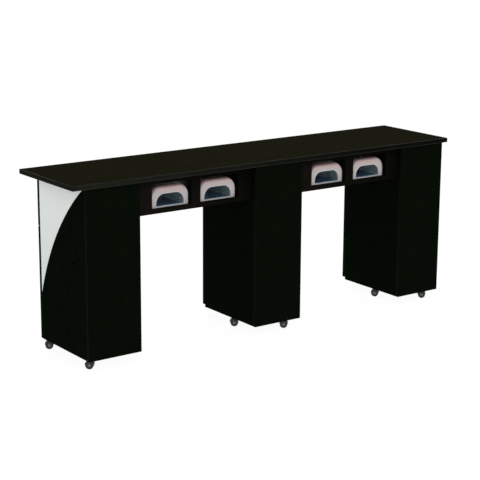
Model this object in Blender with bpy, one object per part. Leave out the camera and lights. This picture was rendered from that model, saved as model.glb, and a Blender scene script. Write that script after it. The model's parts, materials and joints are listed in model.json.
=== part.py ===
"""Two-station manicure table: a long worktop on three narrow cabinets, with two client bays.

Units are metres. +X runs along the worktop, from the client's left to the client's right.
+Y points from the client to the technician, and +Z is up.
The origin is on the floor, under the middle of the worktop.
Every cabinet and every bay is drawn in its own frame: x from its left edge or its middle,
y back from the cabinets' client face, and z up from the floor.
"""

import math

import bmesh
import bpy
from mathutils import Matrix, Vector

# Driving dimensions of the whole table
HEIGHT = 0.775
WORKTOP_LENGTH = 2.005
WORKTOP_DEPTH = 0.445
WORKTOP_THICKNESS = 0.020
WORKTOP_EDGE_RADIUS = 0.0015
OVERHANG_LEFT = 0.065
OVERHANG_CLIENT = 0.012
CABINET_WIDTH = 0.250
BAY_WIDTH = 0.585
CARCASS_DEPTH = 0.386
BOARD = 0.016
BOARD_CHAMFER = 0.0005
FLOOR_CLEARANCE = 0.040
GAP = 0.0003
CUT_MARGIN = 0.010

CLIENT_FACE_Y = -WORKTOP_DEPTH / 2 + OVERHANG_CLIENT
UNDERSIDE = HEIGHT - WORKTOP_THICKNESS
BOARD_TOP = UNDERSIDE - GAP
CABINET_PITCH = CABINET_WIDTH + BAY_WIDTH
FIRST_CABINET_X = -WORKTOP_LENGTH / 2 + OVERHANG_LEFT
CABINET_NAMES = ("left", "middle", "right")
BAY_NAMES = ("left", "right")

# Doors and drawers, on the technician's side
REVEAL = 0.003
FRONT_THICKNESS = 0.018
FRONT_SIDE_MARGIN = 0.0015
FRONT_TOP = UNDERSIDE - 0.004
DOOR_RAISE = {"left": 0.0, "middle": 0.011, "right": 0.011}
DRAWER_FRONT_BOTTOM = 0.533
FRONT_Y = CARCASS_DEPTH + REVEAL
DRAWER_SIDE_CLEARANCE = 0.013
DRAWER_BOX_BOTTOM = 0.567
DRAWER_BOX_HEIGHT = 0.150
DRAWER_BOX_DEPTH = 0.337
DRAWER_WALL = 0.012
DRAWER_NAMES = ("left", "right")

# Bow pulls
PULL_CENTRES = 0.096
PULL_ROD_RADIUS = 0.004
PULL_PROJECTION = 0.026
PULL_BEND_RADIUS = 0.009
PULL_EDGE_DISTANCE = 0.035
PULL_RING_RESOLUTION = 2

# Piano hinges
HINGE_BARREL_RADIUS = 0.0025
HINGE_AXIS_OUTSIDE = 0.003
HINGE_AXIS_BEHIND = 0.0015
HINGE_LEAF_THICKNESS = 0.001
HINGE_LEAF_WIDTH = 0.014
HINGE_END_MARGIN = 0.020

# Pale inlay in the left cabinet's outer side, bounded by an arc
INLAY_POCKET_DEPTH = 0.003
INLAY_ARC_RADIUS = 1.021
INLAY_TOP_Y = 0.0187
INLAY_BACK_Z = 0.246
INLAY_ARC_SEGMENTS = 24

# Cable grommet under the inlay
GROMMET_Y = 0.1055
GROMMET_Z = 0.452
GROMMET_FLANGE_RADIUS = 0.031
GROMMET_FLANGE_THICKNESS = 0.002
GROMMET_BODY_RADIUS = 0.029
GROMMET_BODY_LENGTH = 0.013
GROMMET_WALL = 0.002
GROMMET_NOTCH = (0.018, 0.012)
GROMMET_SEGMENTS = 32

# Bays: a fascia with two openings, and the shelf behind it
BAY_BOTTOM = 0.607
SHELF_BOTTOM = BAY_BOTTOM + 0.004
SHELF_TOP = SHELF_BOTTOM + BOARD
FASCIA_SETBACK = 0.028
FASCIA_TOP_RAIL = 0.024
FASCIA_OPENING_WIDTH = 0.195
SHELF_DEPTH = 0.286
LAMP_OFFSET = 0.120

# Nail dryers
LAMP_HALF_WIDTH = 0.091
LAMP_HEIGHT = 0.088
LAMP_DEPTH = 0.195
LAMP_SHOULDER = 0.042
LAMP_BEHIND_FASCIA_FRONT = 0.014
LAMP_WALL = 0.004
LAMP_LIP = 0.003
LAMP_BEZEL = 0.006
LAMP_FLARE_END = 0.035
LAMP_NOSE_LENGTH = 0.018
LAMP_NOSE_DROP = 0.011
LAMP_NOSE_INSET = 0.003
LAMP_NOSE_STEPS = 3
MOUTH_HALF_WIDTH = 0.068
MOUTH_HEIGHT = 0.053
MOUTH_SHOULDER = 0.039
ARCH_SEGMENTS = 6
BUTTON_RADIUS = 0.007
BUTTON_CLEARANCE = 0.0005
BUTTON_RISE = 0.003
BUTTON_LENGTH = 0.009
BUTTON_BEHIND_FRONT = 0.050
BUTTON_SEGMENTS = 16
INLET_SIZE = (0.012, 0.003, 0.008)
INLET_OFFSET = 0.051
INLET_RISE = 0.014

# Hooded twin-wheel castors
WHEEL_RADIUS = 0.017
WHEEL_WIDTH = 0.0095
WHEEL_EDGE = 0.0012
WHEEL_SEGMENTS = 24
AXLE_RADIUS = 0.003
AXLE_CLEARANCE = 0.0005
WEB_THICKNESS = 0.005
TRAIL = 0.010
HOOD_CLEARANCE = 0.0012
HOOD_THICKNESS = 0.0014
HOOD_START_DEG = 8
HOOD_SEGMENTS = 12
HUB_LOBE_RADIUS = 0.007
HUB_LOBE_SEGMENTS = 5
COLLAR_RADIUS = 0.0075
COLLAR_BOTTOM = 0.026
COLLAR_TOP = FLOOR_CLEARANCE - 0.0005
STEM_RADIUS = 0.004
STEM_TOP = FLOOR_CLEARANCE + 0.0125
STEM_HOLE_RADIUS = STEM_RADIUS + GAP
STEM_HOLE_TOP = STEM_TOP + 0.001
STEM_SEGMENTS = 12

# Each cabinet's castors: the swivel axis as x from the cabinet's left edge and y from its
# client face, and the angle in degrees at which the castor happens to stand
CASTORS = {
    "left": ((0.0305, 0.0306, -42), (0.0250, 0.3600, -30), (0.2120, 0.2000, 20)),
    "middle": ((0.0240, 0.1740, -30), (0.1896, 0.0257, -40), (0.2050, 0.3300, 35)),
    "right": ((0.0259, 0.1758, -48), (0.1939, 0.0295, -40), (0.2050, 0.3300, 80)),
}


def plain(name, colour, roughness, metallic=0.0):
    """A Principled material of one colour."""
    material = bpy.data.materials.new(name)
    material.use_nodes = True
    shader = material.node_tree.nodes["Principled BSDF"]
    shader.inputs["Base Color"].default_value = (*colour, 1.0)
    shader.inputs["Roughness"].default_value = roughness
    shader.inputs["Metallic"].default_value = metallic
    material.diffuse_color = (*colour, 1.0)
    return material


def clear_scene():
    """Removes whatever the new file starts with."""
    for old in list(bpy.data.objects):
        bpy.data.objects.remove(old, do_unlink=True)


# Shapes


def add(name, data, material, parent=None, location=(0, 0, 0), rotation_z=0.0):
    """Puts a mesh or curve in the scene as a named piece."""
    piece = bpy.data.objects.new(name, data)
    bpy.context.scene.collection.objects.link(piece)
    if not data.materials:
        data.materials.append(material)
    piece.parent = parent
    piece.location = location
    piece.rotation_euler = (0, 0, rotation_z)
    return piece


def guide(name, location, parent=None, rotation_z=0.0):
    """An empty that carries the pieces of one assembly or stands on a joint's axis."""
    empty = bpy.data.objects.new(name, None)
    bpy.context.scene.collection.objects.link(empty)
    empty.parent = parent
    empty.location = location
    empty.rotation_euler = (0, 0, rotation_z)
    return empty


def finished(name, work, smooth=False):
    """Turns a bmesh into a mesh with its faces pointing out."""
    bmesh.ops.recalc_face_normals(work, faces=work.faces)
    mesh = bpy.data.meshes.new(name)
    work.to_mesh(mesh)
    work.free()
    if smooth:
        mesh.shade_smooth()
        mesh.set_sharp_from_angle(angle=math.radians(35))
    return mesh


def skin(name, rings, smooth=False):
    """A closed body through rings of the same number of points, capped at both ends."""
    work = bmesh.new()
    loops = [[work.verts.new(point) for point in ring] for ring in rings]
    for lower, upper in zip(loops, loops[1:]):
        for i in range(len(lower)):
            j = (i + 1) % len(lower)
            work.faces.new((lower[i], lower[j], upper[j], upper[i]))
    work.faces.new(loops[0])
    work.faces.new(loops[-1])
    return finished(name, work, smooth)


def turned(name, profile, segments, axis="Z", phase=0.0):
    """A body turned about Z or Y, from (radius, height) points along its outside."""
    rings = []
    for radius, height in profile:
        ring = []
        for i in range(segments):
            angle = phase + 2 * math.pi * i / segments
            across, along = radius * math.cos(angle), radius * math.sin(angle)
            ring.append((across, along, height) if axis == "Z" else (across, height, along))
        rings.append(ring)
    return skin(name, rings, smooth=True)


def arc(centre, radius, start, end, segments):
    """Points on an arc, with its angles in radians."""
    steps = [start + (end - start) * i / segments for i in range(segments + 1)]
    return [
        (centre[0] + radius * math.cos(a), centre[1] + radius * math.sin(a)) for a in steps
    ]


def box_mesh(name, low, high, chamfer=BOARD_CHAMFER, segments=1):
    """A board between two corners, with its edges broken."""
    work = bmesh.new()
    bmesh.ops.create_cube(work, size=1.0)
    low, high = Vector(low), Vector(high)
    for vertex in work.verts:
        vertex.co = Vector(
            low[i] + (vertex.co[i] + 0.5) * (high[i] - low[i]) for i in range(3)
        )
    if chamfer:
        bmesh.ops.bevel(
            work, geom=work.edges, offset=chamfer, segments=segments, affect="EDGES", profile=0.5
        )
    return finished(name, work, smooth=segments > 1)


def board(name, low, high, material, parent, pivot=None):
    """A board piece whose origin is its middle, or the pivot that it turns about."""
    pivot = (Vector(low) + Vector(high)) / 2 if pivot is None else Vector(pivot)
    mesh = box_mesh(name, Vector(low) - pivot, Vector(high) - pivot)
    return add(name, mesh, material, parent, pivot)


def cutter(name, mesh, parent=None, location=(0, 0, 0)):
    """A body that only cuts or joins, and isn't a piece."""
    tool = bpy.data.objects.new(name, mesh)
    bpy.context.scene.collection.objects.link(tool)
    tool.parent = parent
    tool.location = location
    tool.hide_render = True
    tool.display_type = "WIRE"
    return tool


def combine(piece, tool, operation="DIFFERENCE"):
    """Adds a Boolean modifier to the piece."""
    modifier = piece.modifiers.new(tool.name, "BOOLEAN")
    modifier.object = tool
    modifier.operation = operation
    modifier.solver = "EXACT"


def baked(name, base, steps, material):
    """The mesh of base after its Boolean steps, for pieces that share it."""
    body = add(name, base, material)
    tools = []
    for index, (mesh, operation) in enumerate(steps):
        tool = cutter(f"{name}_tool_{index}", mesh)
        tools.append(tool)
        combine(body, tool, operation)
    bpy.context.view_layer.update()
    evaluated = body.evaluated_get(bpy.context.evaluated_depsgraph_get())
    result = bpy.data.meshes.new_from_object(evaluated)
    result.name = name
    for used in [body, *tools]:
        bpy.data.objects.remove(used, do_unlink=True)
    result.shade_smooth()
    result.set_sharp_from_angle(angle=math.radians(35))
    return result


# Worktop


def worktop(materials):
    """The slab, centred over the origin."""
    half = Vector((WORKTOP_LENGTH / 2, WORKTOP_DEPTH / 2, WORKTOP_THICKNESS / 2))
    mesh = box_mesh("worktop", -half, half, WORKTOP_EDGE_RADIUS, segments=2)
    add("worktop", mesh, materials["top"], None, (0, 0, HEIGHT - WORKTOP_THICKNESS / 2))


# Cabinets


def carcass(name, cabinet, materials):
    """Two sides, the client panel over their front edges, and the bottom between them."""
    laminate = materials["laminate"]
    behind_panel = BOARD + GAP
    sides = {}
    for hand, x in (("left", 0.0), ("right", CABINET_WIDTH - BOARD)):
        sides[hand] = board(
            f"{name}_cabinet_side_{hand}",
            (x, behind_panel, FLOOR_CLEARANCE),
            (x + BOARD, CARCASS_DEPTH, BOARD_TOP),
            laminate,
            cabinet,
        )
    board(
        f"{name}_cabinet_client_panel",
        (0, 0, FLOOR_CLEARANCE),
        (CABINET_WIDTH, BOARD, BOARD_TOP),
        laminate,
        cabinet,
    )
    bottom = board(
        f"{name}_cabinet_bottom",
        (behind_panel, behind_panel, FLOOR_CLEARANCE),
        (CABINET_WIDTH - behind_panel, CARCASS_DEPTH, FLOOR_CLEARANCE + BOARD),
        laminate,
        cabinet,
    )
    return sides, bottom


def door(name, cabinet, top, materials):
    """An overlay door on a piano hinge at its right edge, with an upright bow pull."""
    axis_x = CABINET_WIDTH + HINGE_AXIS_OUTSIDE
    axis_y = CARCASS_DEPTH + HINGE_AXIS_BEHIND
    axis = guide(f"{name}_door_axis", (axis_x, axis_y, 0), cabinet)
    bottom = FLOOR_CLEARANCE + DOOR_RAISE[name]
    low = Vector((FRONT_SIDE_MARGIN - axis_x, FRONT_Y - axis_y, bottom))
    high = Vector((CABINET_WIDTH - FRONT_SIDE_MARGIN - axis_x, low.y + FRONT_THICKNESS, top))
    board(f"{name}_door", low, high, materials["laminate"], axis, pivot=(0, 0, bottom))
    pull = add(f"{name}_door_pull", materials["pull_curve"], materials["metal"], axis)
    pull.location = (
        PULL_EDGE_DISTANCE - axis_x,
        high.y + GAP,
        top - PULL_EDGE_DISTANCE - PULL_CENTRES / 2,
    )
    pull.rotation_euler = (0, math.pi / 2, 0)
    hinge_leaf(name, axis, bottom, top, materials)


def hinge_leaf(name, axis, bottom, top, materials):
    """The hinge's fixed leaf on the side board's back edge, in one piece with its barrel."""
    leaf_low = -HINGE_AXIS_BEHIND + GAP
    leaf_high = leaf_low + HINGE_LEAF_THICKNESS
    start = math.pi + math.asin(-leaf_low / HINGE_BARREL_RADIUS)
    end = 3 * math.pi - math.asin(leaf_high / HINGE_BARREL_RADIUS)
    outline = arc((0, 0), HINGE_BARREL_RADIUS, start, end, 12)
    outline += [(-HINGE_LEAF_WIDTH - HINGE_AXIS_OUTSIDE, leaf_high)]
    outline += [(-HINGE_LEAF_WIDTH - HINGE_AXIS_OUTSIDE, leaf_low)]
    rings = [
        [(x, y, z) for x, y in outline]
        for z in (bottom + HINGE_END_MARGIN, top - HINGE_END_MARGIN)
    ]
    mesh = skin(f"{name}_door_hinge", rings)
    add(f"{name}_door_hinge", mesh, materials["steel"], axis)


def drawer(name, cabinet, materials):
    """An overlay front with a level bow pull, and the open box behind it."""
    slide = guide(f"{name}_drawer_slide", (CABINET_WIDTH / 2, FRONT_Y, 0), cabinet)
    half = CABINET_WIDTH / 2 - FRONT_SIDE_MARGIN
    board(
        f"{name}_drawer_front",
        (-half, 0, DRAWER_FRONT_BOTTOM),
        (half, FRONT_THICKNESS, FRONT_TOP),
        materials["laminate"],
        slide,
    )
    pull = add(f"{name}_drawer_pull", materials["pull_curve"], materials["metal"], slide)
    pull.location = (0, FRONT_THICKNESS + GAP, (DRAWER_FRONT_BOTTOM + FRONT_TOP) / 2)
    half_box = CABINET_WIDTH / 2 - BOARD - DRAWER_SIDE_CLEARANCE
    rim = DRAWER_BOX_BOTTOM + DRAWER_BOX_HEIGHT
    floor = DRAWER_BOX_BOTTOM + DRAWER_WALL

    def level(inset, z):
        left, right = -half_box + inset, half_box - inset
        back, front = -GAP - DRAWER_BOX_DEPTH + inset, -GAP - inset
        return [(left, back, z), (right, back, z), (right, front, z), (left, front, z)]

    rings = [level(0, DRAWER_BOX_BOTTOM), level(0, rim), level(DRAWER_WALL, rim)]
    rings.append(level(DRAWER_WALL, floor))
    add(f"{name}_drawer_box", skin(f"{name}_drawer_box", rings), materials["lining"], slide)


def pull_curve():
    """The bow pull's rod: along X, standing off along +Y, with rounded corners."""
    reach = PULL_PROJECTION - GAP - PULL_ROD_RADIUS
    half = PULL_CENTRES / 2
    left = arc((-half + PULL_BEND_RADIUS, reach - PULL_BEND_RADIUS), PULL_BEND_RADIUS,
               math.pi, math.pi / 2, 4)
    right = [(-x, y) for x, y in reversed(left)]
    points = [(-half, 0.0), *left, *right, (half, 0.0)]
    curve = bpy.data.curves.new("bow_pull", "CURVE")
    curve.dimensions = "3D"
    curve.bevel_depth = PULL_ROD_RADIUS
    curve.bevel_resolution = PULL_RING_RESOLUTION
    curve.use_fill_caps = True
    spline = curve.splines.new("POLY")
    spline.points.add(len(points) - 1)
    for point, (x, y) in zip(spline.points, points):
        point.co = (x, y, 0.0, 1.0)
    return curve


# Inlay and grommet of the left cabinet's outer side


def inlay_outline(radius_extra, top, back):
    """The inlay's outline in (y, z): the arc down from the top, and the corner behind it."""
    start = Vector((INLAY_TOP_Y, BOARD_TOP))
    end = Vector((CARCASS_DEPTH, INLAY_BACK_Z))
    chord = end - start
    height = math.sqrt(INLAY_ARC_RADIUS**2 - (chord.length / 2) ** 2)
    towards_client = Vector((chord.y, -chord.x)).normalized()
    centre = (start + end) / 2 + towards_client * height
    radius = INLAY_ARC_RADIUS + radius_extra
    first = math.asin((top - centre.y) / radius)
    last = math.acos((back - centre.x) / radius)
    return [*arc(centre, radius, first, last, INLAY_ARC_SEGMENTS), (back, top)]


def inlay_and_grommet(cabinet, side, materials):
    """The flush pale inlay, its pocket, the grommet and its hole."""
    panel = [
        [(x, y, z) for y, z in inlay_outline(GAP, BOARD_TOP, CARCASS_DEPTH)]
        for x in (0.0, INLAY_POCKET_DEPTH - GAP)
    ]
    add("end_inlay", skin("end_inlay", panel), materials["inlay"], cabinet)
    beyond = inlay_outline(0.0, BOARD_TOP + CUT_MARGIN, CARCASS_DEPTH + CUT_MARGIN)
    pocket = [[(x, y, z) for y, z in beyond] for x in (-CUT_MARGIN, INLAY_POCKET_DEPTH)]
    combine(side, cutter("inlay_pocket", skin("inlay_pocket", pocket), cabinet))

    hole = turned(
        "grommet_hole",
        [(GROMMET_BODY_RADIUS + GAP, -CUT_MARGIN), (GROMMET_BODY_RADIUS + GAP, BOARD + CUT_MARGIN)],
        GROMMET_SEGMENTS,
    )
    hole_tool = cutter("grommet_hole", hole, cabinet, (0, GROMMET_Y, GROMMET_Z))
    hole_tool.rotation_euler = (0, math.pi / 2, 0)
    combine(side, hole_tool)

    inner = GROMMET_BODY_RADIUS - GROMMET_WALL
    profile = [
        (GROMMET_FLANGE_RADIUS - 0.001, -GROMMET_FLANGE_THICKNESS),
        (GROMMET_FLANGE_RADIUS, -GROMMET_FLANGE_THICKNESS + 0.001),
        (GROMMET_FLANGE_RADIUS, -GAP),
        (GROMMET_BODY_RADIUS, -GAP),
        (GROMMET_BODY_RADIUS, GROMMET_BODY_LENGTH),
        (inner, GROMMET_BODY_LENGTH),
        (inner, 0.0),
    ]
    mesh = turned("cable_grommet", profile, GROMMET_SEGMENTS)
    grommet = add("cable_grommet", mesh, materials["grommet"], cabinet)
    grommet.location = (0, GROMMET_Y, GROMMET_Z)
    grommet.rotation_euler = (0, math.pi / 2, 0)
    width, height = GROMMET_NOTCH
    notch_bottom = GROMMET_Z - inner + GROMMET_WALL
    notch = box_mesh(
        "grommet_notch",
        (-CUT_MARGIN, GROMMET_Y - width / 2, notch_bottom),
        (GROMMET_WALL + 0.001, GROMMET_Y + width / 2, notch_bottom + height),
        chamfer=0,
    )
    combine(grommet, cutter("grommet_notch", notch, cabinet))


# Bays


def bay(name, middle, materials):
    """The fascia with its two openings, and the shelf behind it."""
    half = BAY_WIDTH / 2 - GAP
    fascia = board(
        f"{name}_bay_fascia",
        (-half, FASCIA_SETBACK, BAY_BOTTOM),
        (half, FASCIA_SETBACK + BOARD, BOARD_TOP),
        materials["fascia"],
        middle,
    )
    for hand, x in (("left", -LAMP_OFFSET), ("right", LAMP_OFFSET)):
        opening = box_mesh(
            f"{name}_bay_opening_{hand}",
            (x - FASCIA_OPENING_WIDTH / 2, 0, SHELF_TOP),
            (x + FASCIA_OPENING_WIDTH / 2, FASCIA_SETBACK + 2 * BOARD, UNDERSIDE - FASCIA_TOP_RAIL),
            chamfer=0,
        )
        combine(fascia, cutter(opening.name, opening, middle))
    shelf_start = FASCIA_SETBACK + BOARD + GAP
    board(
        f"{name}_bay_shelf",
        (-half, shelf_start, SHELF_BOTTOM),
        (half, shelf_start + SHELF_DEPTH, SHELF_TOP),
        materials["laminate"],
        middle,
    )


# Nail dryers


def arch(half_width, height, shoulder, base, y):
    """A ring in the XZ plane: flat foot, upright sides, round shoulders and a flat crown."""
    top = base + height
    right = arc((half_width - shoulder, top - shoulder), shoulder, 0, math.pi / 2, ARCH_SEGMENTS)
    left = [(-x, z) for x, z in reversed(right)]
    outline = [(-half_width, base), (half_width, base), *right, *left]
    return [(x, y, z) for x, z in outline]


def lamp_housing(material):
    """The dryer's shell: rounded nose, arched mouth, wide chamber, and the lead's inlet behind."""
    rings = [arch(LAMP_HALF_WIDTH, LAMP_HEIGHT, LAMP_SHOULDER, 0, LAMP_DEPTH)]
    for step in range(LAMP_NOSE_STEPS + 1):
        turn = math.pi / 2 * step / LAMP_NOSE_STEPS
        back = LAMP_NOSE_LENGTH * (1 - math.sin(turn))
        share = 1 - math.cos(turn)
        rings.append(
            arch(
                LAMP_HALF_WIDTH - LAMP_NOSE_INSET * share,
                LAMP_HEIGHT - LAMP_NOSE_DROP * share,
                LAMP_SHOULDER - LAMP_NOSE_INSET * share,
                0,
                back,
            )
        )
    mouth = (MOUTH_HALF_WIDTH, MOUTH_HEIGHT, MOUTH_SHOULDER, LAMP_LIP)
    chamber = (
        LAMP_HALF_WIDTH - LAMP_WALL,
        LAMP_HEIGHT - LAMP_LIP - LAMP_WALL,
        LAMP_SHOULDER - LAMP_WALL,
        LAMP_LIP,
    )
    rings.append(arch(*mouth, 0))
    rings.append(arch(*mouth, LAMP_BEZEL))
    rings.append(arch(*chamber, LAMP_FLARE_END))
    rings.append(arch(*chamber, LAMP_DEPTH - LAMP_WALL))
    hole_radius = BUTTON_RADIUS + BUTTON_CLEARANCE
    hole_low = LAMP_HEIGHT - LAMP_WALL - CUT_MARGIN
    hole = turned(
        "button_hole",
        [(hole_radius, hole_low), (hole_radius, LAMP_HEIGHT + CUT_MARGIN)],
        BUTTON_SEGMENTS,
    )
    hole.transform(Matrix.Translation((0, BUTTON_BEHIND_FRONT, 0)))
    width, depth, height = INLET_SIZE
    inlet = box_mesh(
        "lead_inlet",
        (INLET_OFFSET - width / 2, LAMP_DEPTH - depth, INLET_RISE),
        (INLET_OFFSET + width / 2, LAMP_DEPTH + CUT_MARGIN, INLET_RISE + height),
        chamfer=0,
    )
    shell = skin("lamp_housing", rings)
    steps = [(hole, "DIFFERENCE"), (inlet, "DIFFERENCE")]
    return baked("lamp_housing", shell, steps, material)


def lamp_button():
    """A round cap with a dished edge, whose origin is level with the housing's crown."""
    profile = [
        (BUTTON_RADIUS, BUTTON_RISE - BUTTON_LENGTH),
        (BUTTON_RADIUS, BUTTON_RISE - 0.001),
        (BUTTON_RADIUS - 0.001, BUTTON_RISE),
    ]
    return turned("lamp_button", profile, BUTTON_SEGMENTS)


def lamps(bays, materials):
    """Four dryers, two to a bay, on the shelves behind the fascias' openings."""
    housing_mesh = lamp_housing(materials["lamp"])
    button_mesh = lamp_button()
    foot = SHELF_TOP + GAP
    front = FASCIA_SETBACK + LAMP_BEHIND_FASCIA_FRONT
    number = 0
    for middle in bays:
        for x in (-LAMP_OFFSET, LAMP_OFFSET):
            number += 1
            housing = add(
                f"lamp_housing_{number}", housing_mesh, materials["lamp"], middle, (x, front, foot)
            )
            add(
                f"lamp_button_{number}",
                button_mesh,
                materials["button"],
                housing,
                (0, BUTTON_BEHIND_FRONT, LAMP_HEIGHT),
            )


# Castors


def castor_body(material):
    """The web between the wheels with its hood, collar and stem, about the swivel axis."""
    hub = (-TRAIL, WHEEL_RADIUS)
    pocket_radius = WHEEL_RADIUS + HOOD_CLEARANCE
    hood_radius = pocket_radius + HOOD_THICKNESS
    half_width = WEB_THICKNESS / 2 + GAP + WHEEL_WIDTH
    start = math.radians(HOOD_START_DEG)
    outline = arc(hub, hood_radius, start, math.pi - start, HOOD_SEGMENTS)
    lobe = math.radians(35)
    outline += arc(hub, HUB_LOBE_RADIUS, math.pi + lobe, 2 * math.pi - lobe, HUB_LOBE_SEGMENTS)
    drum = skin("castor_body", [[(x, y, z) for x, z in outline] for y in (-half_width, half_width)])
    stem = turned(
        "castor_stem",
        [
            (COLLAR_RADIUS, COLLAR_BOTTOM),
            (COLLAR_RADIUS, COLLAR_TOP),
            (STEM_RADIUS, COLLAR_TOP),
            (STEM_RADIUS, STEM_TOP - 0.001),
            (STEM_RADIUS - 0.001, STEM_TOP),
        ],
        STEM_SEGMENTS,
    )
    steps = [(stem, "UNION")]
    for side in (-1, 1):
        near = side * WEB_THICKNESS / 2
        far = side * (half_width + CUT_MARGIN)
        pocket = turned(
            "wheel_pocket", [(pocket_radius, near), (pocket_radius, far)], WHEEL_SEGMENTS, axis="Y"
        )
        pocket.transform(Matrix.Translation((hub[0], 0, hub[1])))
        steps.append((pocket, "DIFFERENCE"))
    bore_radius = AXLE_RADIUS + AXLE_CLEARANCE
    bore = turned(
        "axle_bore", [(bore_radius, -WEB_THICKNESS), (bore_radius, WEB_THICKNESS)], 12, axis="Y"
    )
    bore.transform(Matrix.Translation((hub[0], 0, hub[1])))
    steps.append((bore, "DIFFERENCE"))
    return baked("castor_body", drum, steps, material)


def castor_wheels():
    """Two wheels on one axle, turned about Y, with a flat of the tread at the very bottom."""
    corner = 1 / math.cos(math.pi / WHEEL_SEGMENTS)
    inside = WEB_THICKNESS / 2 + GAP
    outside = inside + WHEEL_WIDTH
    half = [
        (AXLE_RADIUS, inside),
        (WHEEL_RADIUS * corner, inside),
        (WHEEL_RADIUS * corner, outside - WHEEL_EDGE),
        (WHEEL_RADIUS * corner - WHEEL_EDGE, outside),
    ]
    profile = [(radius, -y) for radius, y in reversed(half)] + half
    return turned(
        "castor_wheels", profile, WHEEL_SEGMENTS, axis="Y", phase=math.pi / WHEEL_SEGMENTS
    )


def castors(name, cabinet, bottom, meshes, materials):
    """Three castors under a cabinet, each at its own swivel angle, and their stem holes."""
    body_mesh, wheels_mesh, hole_mesh = meshes
    for number, (x, y, angle) in enumerate(CASTORS[name], start=1):
        combine(bottom, cutter(f"{name}_stem_hole_{number}", hole_mesh, cabinet, (x, y, 0)))
        swivel = add(
            f"{name}_castor_body_{number}",
            body_mesh,
            materials["castor"],
            cabinet,
            (x, y, 0),
            math.radians(angle),
        )
        add(
            f"{name}_castor_wheels_{number}",
            wheels_mesh,
            materials["tread"],
            swivel,
            (-TRAIL, 0, WHEEL_RADIUS),
        )


def castor_meshes(material):
    """The meshes that all castors share: body, wheel pair and stem hole."""
    hole = turned(
        "stem_hole",
        [(STEM_HOLE_RADIUS, FLOOR_CLEARANCE - CUT_MARGIN), (STEM_HOLE_RADIUS, STEM_HOLE_TOP)],
        STEM_SEGMENTS,
    )
    return castor_body(material), castor_wheels(), hole


def build():
    """Makes the whole table."""
    clear_scene()
    materials = {
        "top": plain("worktop_laminate", (0.011, 0.011, 0.006), 0.42),
        "laminate": plain("black_laminate", (0.004, 0.005, 0.004), 0.45),
        "fascia": plain("brown_black_laminate", (0.007, 0.005, 0.005), 0.5),
        "lining": plain("drawer_lining", (0.35, 0.34, 0.32), 0.6),
        "inlay": plain("pale_inlay", (0.72, 0.74, 0.73), 0.35),
        "lamp": plain("lamp_plastic", (0.55, 0.47, 0.46), 0.3),
        "button": plain("button_plastic", (0.7, 0.7, 0.7), 0.35),
        "grommet": plain("grommet_plastic", (0.01, 0.01, 0.01), 0.5),
        "metal": plain("pull_metal", (0.6, 0.6, 0.6), 0.25, 1.0),
        "steel": plain("hinge_steel", (0.5, 0.5, 0.5), 0.4, 1.0),
        "castor": plain("castor_plastic", (0.05, 0.05, 0.05), 0.45),
        "tread": plain("castor_tread", (0.2, 0.2, 0.2), 0.5),
        "pull_curve": pull_curve(),
    }
    worktop(materials)
    meshes = castor_meshes(materials["castor"])
    for index, name in enumerate(CABINET_NAMES):
        x = FIRST_CABINET_X + index * CABINET_PITCH
        cabinet = guide(f"{name}_cabinet", (x, CLIENT_FACE_Y, 0))
        sides, bottom = carcass(name, cabinet, materials)
        castors(name, cabinet, bottom, meshes, materials)
        if name in DRAWER_NAMES:
            drawer(name, cabinet, materials)
            door(name, cabinet, DRAWER_FRONT_BOTTOM - REVEAL, materials)
        else:
            door(name, cabinet, FRONT_TOP, materials)
        if name == CABINET_NAMES[0]:
            inlay_and_grommet(cabinet, sides["left"], materials)
    bays = []
    for index, name in enumerate(BAY_NAMES):
        x = FIRST_CABINET_X + CABINET_WIDTH + BAY_WIDTH / 2 + index * CABINET_PITCH
        middle = guide(f"{name}_bay", (x, CLIENT_FACE_Y, 0))
        bay(name, middle, materials)
        bays.append(middle)
    lamps(bays, materials)


build()
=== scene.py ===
"""Looks of the two-station manicure table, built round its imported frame.

Units are metres, in the row frame: +X along the worktop, +Y from client to technician, +Z up.
Places come from the CAD nodes' boxes, so nothing here moves or resizes the table.
"""

import json
import math

import bmesh
import bpy
from mathutils import Matrix, Vector


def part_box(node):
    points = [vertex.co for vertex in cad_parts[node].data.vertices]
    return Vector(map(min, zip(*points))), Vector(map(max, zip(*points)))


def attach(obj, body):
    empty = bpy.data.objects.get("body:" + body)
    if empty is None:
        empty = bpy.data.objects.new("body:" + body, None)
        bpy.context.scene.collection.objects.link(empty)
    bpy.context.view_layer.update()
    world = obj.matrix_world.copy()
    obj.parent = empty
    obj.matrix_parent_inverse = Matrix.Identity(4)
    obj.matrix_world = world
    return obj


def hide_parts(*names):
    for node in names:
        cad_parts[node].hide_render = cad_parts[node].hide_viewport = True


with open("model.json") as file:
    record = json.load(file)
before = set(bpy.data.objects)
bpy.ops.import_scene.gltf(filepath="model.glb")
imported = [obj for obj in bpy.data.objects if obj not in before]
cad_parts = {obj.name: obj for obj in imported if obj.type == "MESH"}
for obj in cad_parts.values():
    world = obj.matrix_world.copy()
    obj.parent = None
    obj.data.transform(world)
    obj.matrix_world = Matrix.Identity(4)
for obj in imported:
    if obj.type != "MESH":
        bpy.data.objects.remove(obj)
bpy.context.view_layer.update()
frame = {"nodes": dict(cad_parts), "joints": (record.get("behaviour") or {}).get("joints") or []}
joints = {joint["name"]: joint for joint in frame["joints"]}

CABINETS = ("left", "middle", "right")
DRAWERS = ("left", "right")
LAMPS = (1, 2, 3, 4)
CASTORS = (1, 2, 3)
TABLE = "table"

# The clearance that the CAD keeps between pieces that touch
GAP = 0.0003

# ---------------------------------------------------------------- camera, floor and light

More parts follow.
